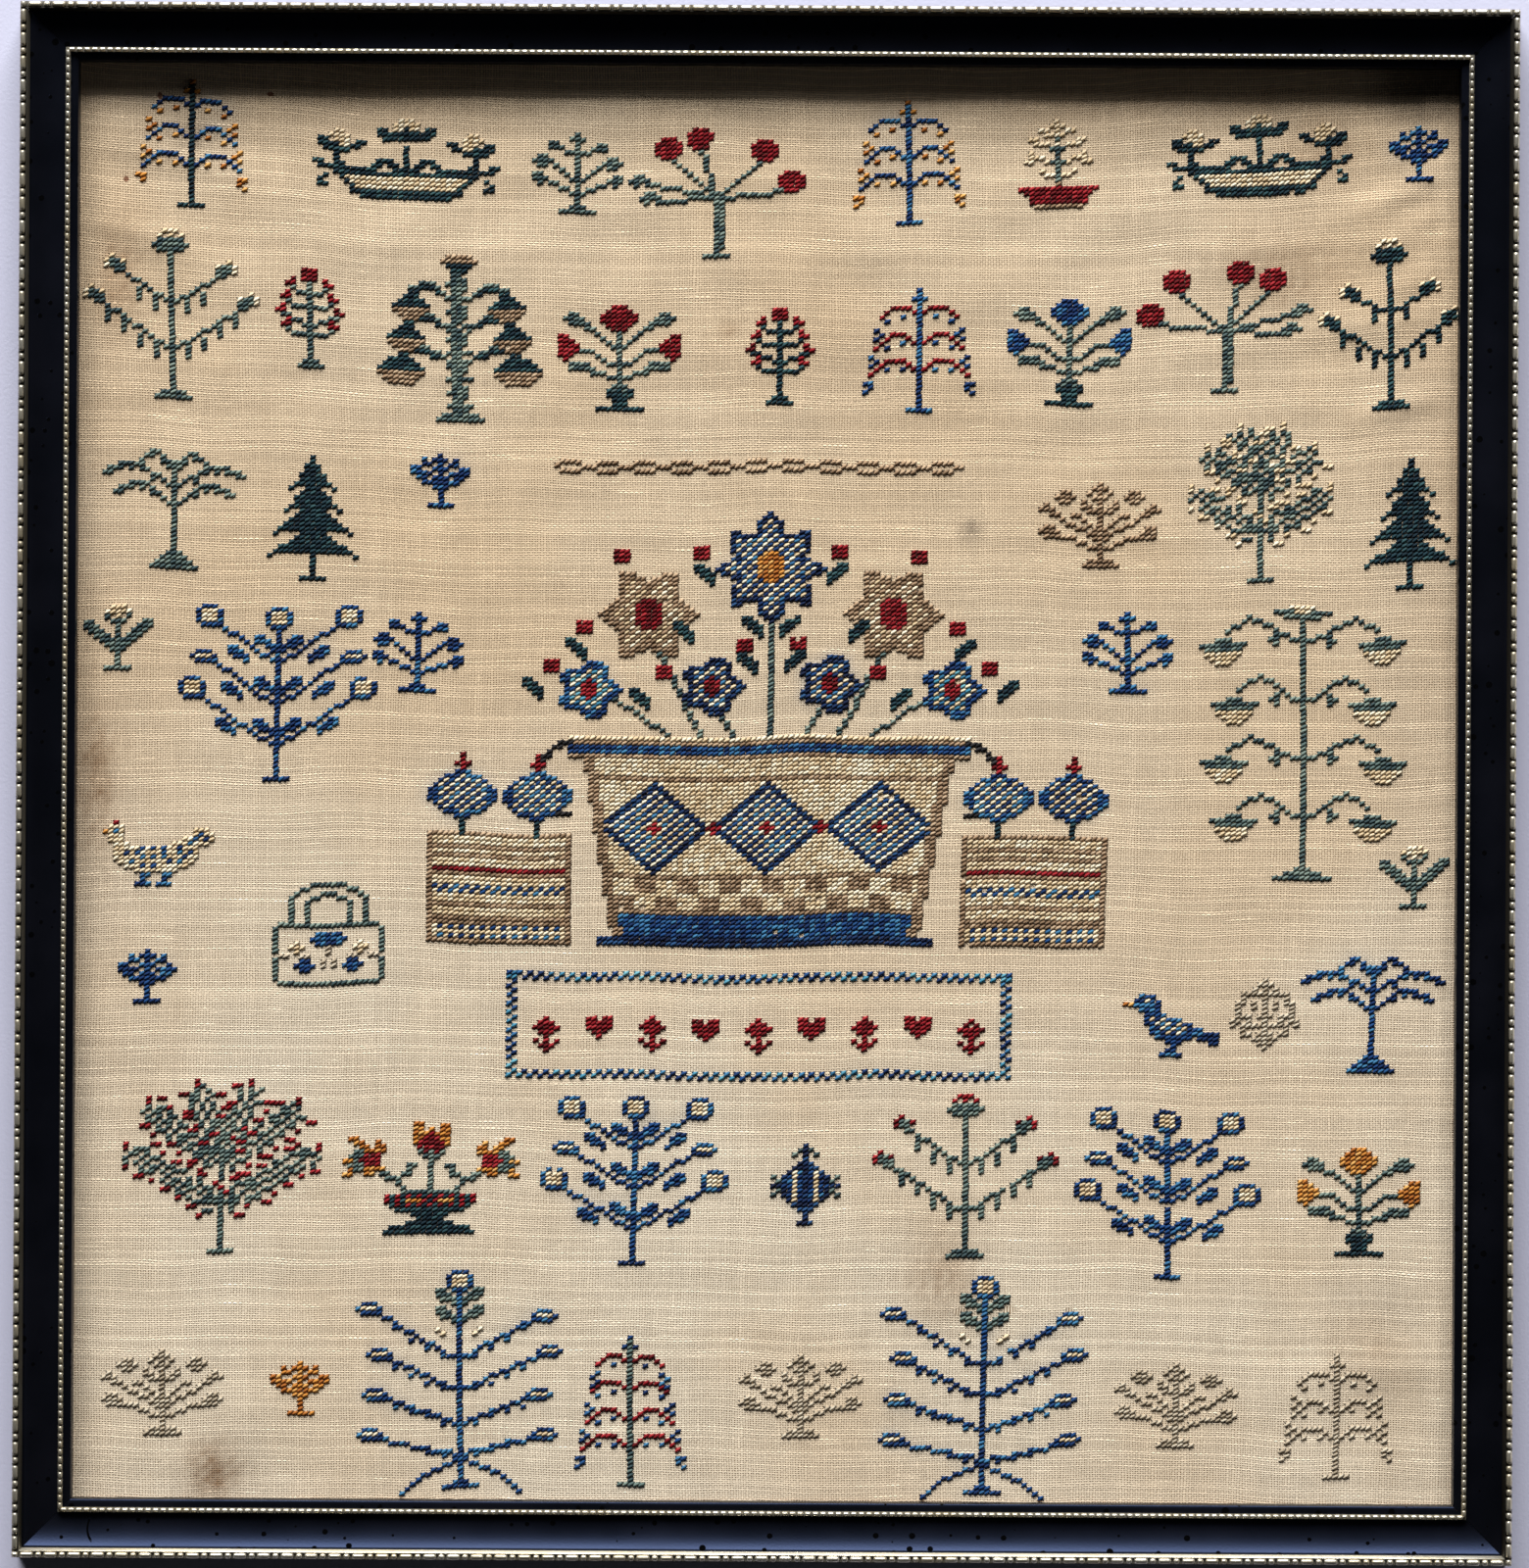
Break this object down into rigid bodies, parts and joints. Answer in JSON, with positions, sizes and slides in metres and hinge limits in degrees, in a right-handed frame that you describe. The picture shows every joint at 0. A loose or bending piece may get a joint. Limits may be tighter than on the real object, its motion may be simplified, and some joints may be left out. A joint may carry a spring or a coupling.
{
  "type": "framed cross stitch sampler in a black and gilt wood picture frame",
  "caption": "Near-square framed needlework: stitched linen on a plain board in a mitred black moulding with gilt bead strips, hung or laid by its flat back.",
  "frame": {"origin": "middle of the flat back, on the surface that the frame lies on", "axes": "+Z out of the face, +Y towards the top of the picture, +X to its right as seen from the front"},
  "size_m": [0.503, 0.522, 0.0198],
  "materials": {
    "black_paint": "black painted wood, half gloss",
    "gilt": "pale gilt, rubbed",
    "linen": "open plain-weave linen, aged",
    "board": "plain brown board, matt",
    "wool_thread": "twisted wool and silk thread, faded"
  },
  "bodies": {
    "root": {"rail_bottom": "black_paint", "rail_right": "black_paint", "rail_top": "black_paint", "rail_left": "black_paint", "outer_gilt_bottom": "gilt", "outer_gilt_right": "gilt", "outer_gilt_top": "gilt", "outer_gilt_left": "gilt", "inner_gilt_bottom": "gilt", "inner_gilt_right": "gilt", "inner_gilt_top": "gilt", "inner_gilt_left": "gilt", "sampler_linen": "linen", "backing_board": "board"}
  },
  "joints": []
}
